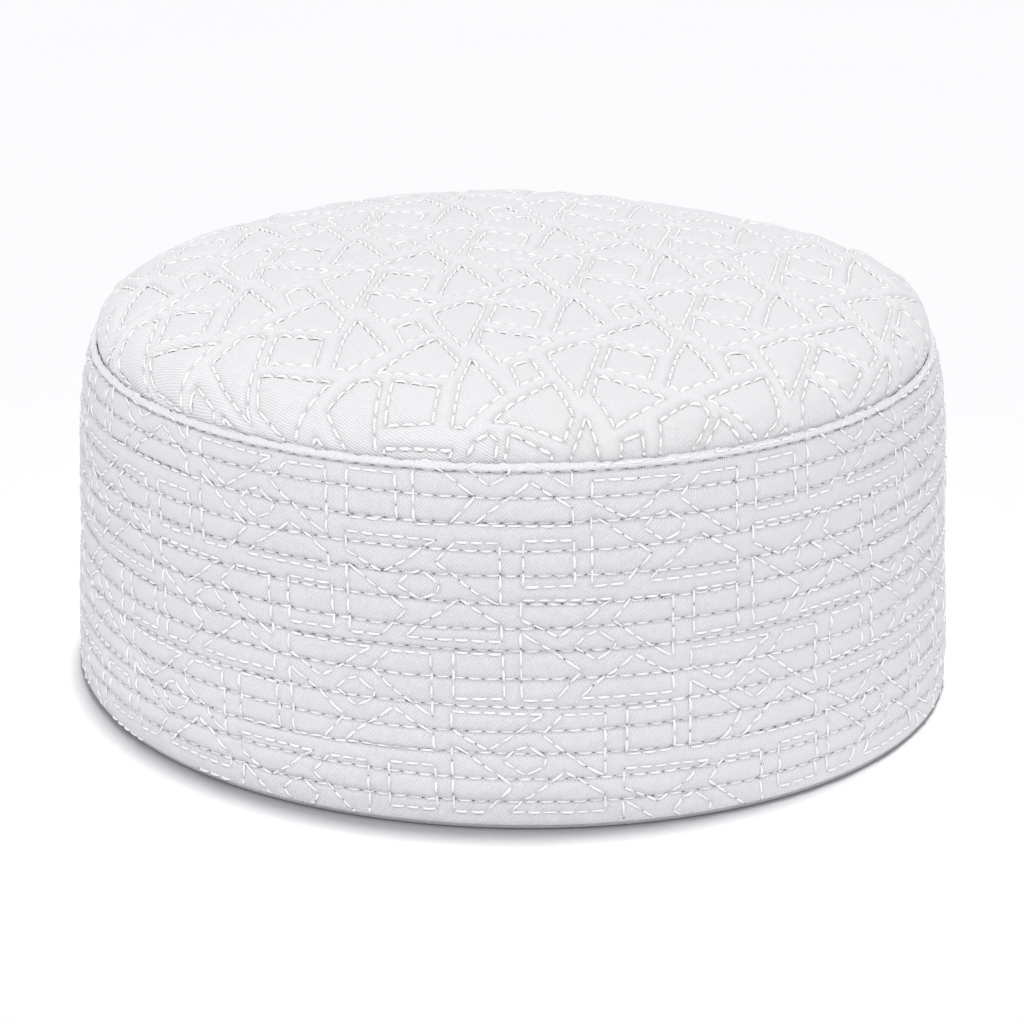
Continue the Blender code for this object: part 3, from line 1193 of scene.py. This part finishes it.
for row in range(len(QUILT_ROWS)):
    count = quilt_count(row)
    jitter = random.uniform(-HOLE_JITTER, HOLE_JITTER, count)
    angle = (np.arange(count) + jitter) * 2 * math.pi / count + ROW_STEP * row / count
    after = np.roll(angle, -1)
    after[-1] += 2 * math.pi
    between = (angle + after) / 2
    sew(*((turn, row_height(row, turn)) for turn in (angle, between, after)))
seam_count = round(BAND_HEIGHT / QUILT_PITCH)
seam_holes = np.linspace(SEAM_FOOT, SEAM_TOP, seam_count + 1)
lower, upper = seam_holes[:-1], seam_holes[1:]
for aside in (-SEAM_ROW_ASIDE, SEAM_ROW_ASIDE):
    angle = np.full(seam_count, math.pi / 2 + aside / LIP_RADIUS)
    sew((angle, lower), (angle, (lower + upper) / 2), (angle, upper))
starts, middles, ends, outward = map(np.concatenate, sewn.values())
quilt_mesh = thread_mesh("quilting_rows", starts, middles, ends, outward, QUILT_THREAD)
add_piece("quilting_rows", quilt_mesh, white_thread)

# %% Painted shade in the band's needle holes
hole_points = np.concatenate([band_hole_points, starts + QUILT_HOLE_LIFT * outward])
hole_out = np.concatenate([band_hole_out, outward])
hole_radius = np.repeat([BAND_HOLE_RADIUS, QUILT_HOLE_RADIUS], [len(band_hole_points), len(starts)])
band_hole_mesh = hole_mesh("band_needle_holes", hole_points, hole_out, hole_radius[:, None])
add_piece("band_needle_holes", band_hole_mesh, hole_shade)

# %% [markdown]
# ## The table, the light and the camera
#
# The cap stands on a plain near-white table. A single lamp would leave the back grey or throw a wide
# shadow. A photographer lights the table and the cap each for itself, with flags that keep a lamp off
# what it shouldn't reach, and in Blender a lamp's light linking does what a flag does. One nearly
# upright lamp lights the table alone, so the shadow is a narrow soft edge along the hem. Four broad
# soft lamps light the cap alone, from the front, the back and both sides. A pale room fills the rest.

# %% A plain pale table
TABLE_SIZE = 60.0
TABLE_GREYS = ((0.93, 0.93, 0.94), (0.95, 0.95, 0.955))
TABLE_CLOUDS = 3.0


def pale_table():
    """A large flat surface, nearly white, with the faintest unevenness."""
    half = TABLE_SIZE / 2
    corners = [(-half, -half, 0.0), (half, -half, 0.0), (half, half, 0.0), (-half, half, 0.0)]
    mesh = bpy.data.meshes.new("table")
    mesh.from_pydata(corners, [], [(0, 1, 2, 3)])
    table = bpy.data.objects.new("table", mesh)
    bpy.context.scene.collection.objects.link(table)
    material, shader, node, join = new_material("pale_table")
    clouds = noise(node, join, node("ShaderNodeTexCoord").outputs["Object"], TABLE_CLOUDS)
    join(two_tones(node, join, clouds, *TABLE_GREYS), shader.inputs["Base Color"])
    shader.inputs["Roughness"].default_value = 0.9
    shader.inputs["Specular IOR Level"].default_value = 0.1
    mesh.materials.append(material)
    return table


pale_table_top = pale_table()
print("the table is", TABLE_SIZE, "m wide")

# %% Soft studio light
SoftLight = namedtuple("SoftLight", "name towards angle_degrees power lit_pieces")
SOFT_LIGHTS = (
    SoftLight("table_softbox", (0.025, 0.11, 0.994), 7.0, 2.34, [pale_table_top]),
    SoftLight("front_softbox", (0.05, -0.66, 0.75), 22.0, 1.85, cap_pieces),
    SoftLight("back_softbox", (0.10, 0.74, 0.67), 30.0, 0.80, cap_pieces),
    SoftLight("left_softbox", (-0.80, -0.10, 0.60), 30.0, 0.75, cap_pieces),
    SoftLight("right_softbox", (0.80, -0.05, 0.60), 30.0, 0.50, cap_pieces),
)
for light in SOFT_LIGHTS:
    data = bpy.data.lights.new(light.name, "SUN")
    data.energy = light.power
    data.angle = math.radians(light.angle_degrees)
    lamp = bpy.data.objects.new(light.name, data)
    lamp.location = Vector(light.towards)
    lamp.rotation_euler = Vector(light.towards).to_track_quat("Z", "Y").to_euler()
    bpy.context.scene.collection.objects.link(lamp)
    lit = bpy.data.collections.new(light.name + "_receivers")
    for piece in light.lit_pieces:
        lit.objects.link(piece)
    lamp.light_linking.receiver_collection = lit
    print(light.name, "lights", len(light.lit_pieces), "pieces")

# %% The pale room
SKY_COLOUR = (0.97, 0.975, 1.0, 1.0)
SKY_STRENGTH = 0.31
world = bpy.data.worlds.new("soft_room")
world.use_nodes = True
sky = world.node_tree.nodes["Background"]
sky.inputs["Color"].default_value = SKY_COLOUR
sky.inputs["Strength"].default_value = SKY_STRENGTH
bpy.context.scene.world = world
bpy.context.scene.view_settings.view_transform = "Standard"

# %% The camera, in front of the cap and a little above it
CAMERA_DISTANCE = 600.0
CAMERA_HEIGHT = 254.4
CAMERA_ASIDE = 0.33
CAMERA_PITCH = 20.42
CAMERA_ROLL = 0.81
FOCAL_PIXELS = 2859.0
PHOTO_WIDTH = 1024
SENSOR_WIDTH = 36.0

camera_data = bpy.data.cameras.new("studio_camera")
camera_data.sensor_width = SENSOR_WIDTH
camera_data.lens = FOCAL_PIXELS / PHOTO_WIDTH * SENSOR_WIDTH
camera = bpy.data.objects.new("studio_camera", camera_data)
tilt = Euler((math.radians(90.0 - CAMERA_PITCH), 0.0, 0.0)).to_matrix().to_4x4()
roll = Matrix.Rotation(math.radians(CAMERA_ROLL), 4, "Z")
stand = to_row(np.array([CAMERA_ASIDE, -CAMERA_DISTANCE, CAMERA_HEIGHT]))
camera.matrix_world = Matrix.Translation(Vector(stand)) @ tilt @ roll
bpy.context.scene.collection.objects.link(camera)
bpy.context.scene.camera = camera
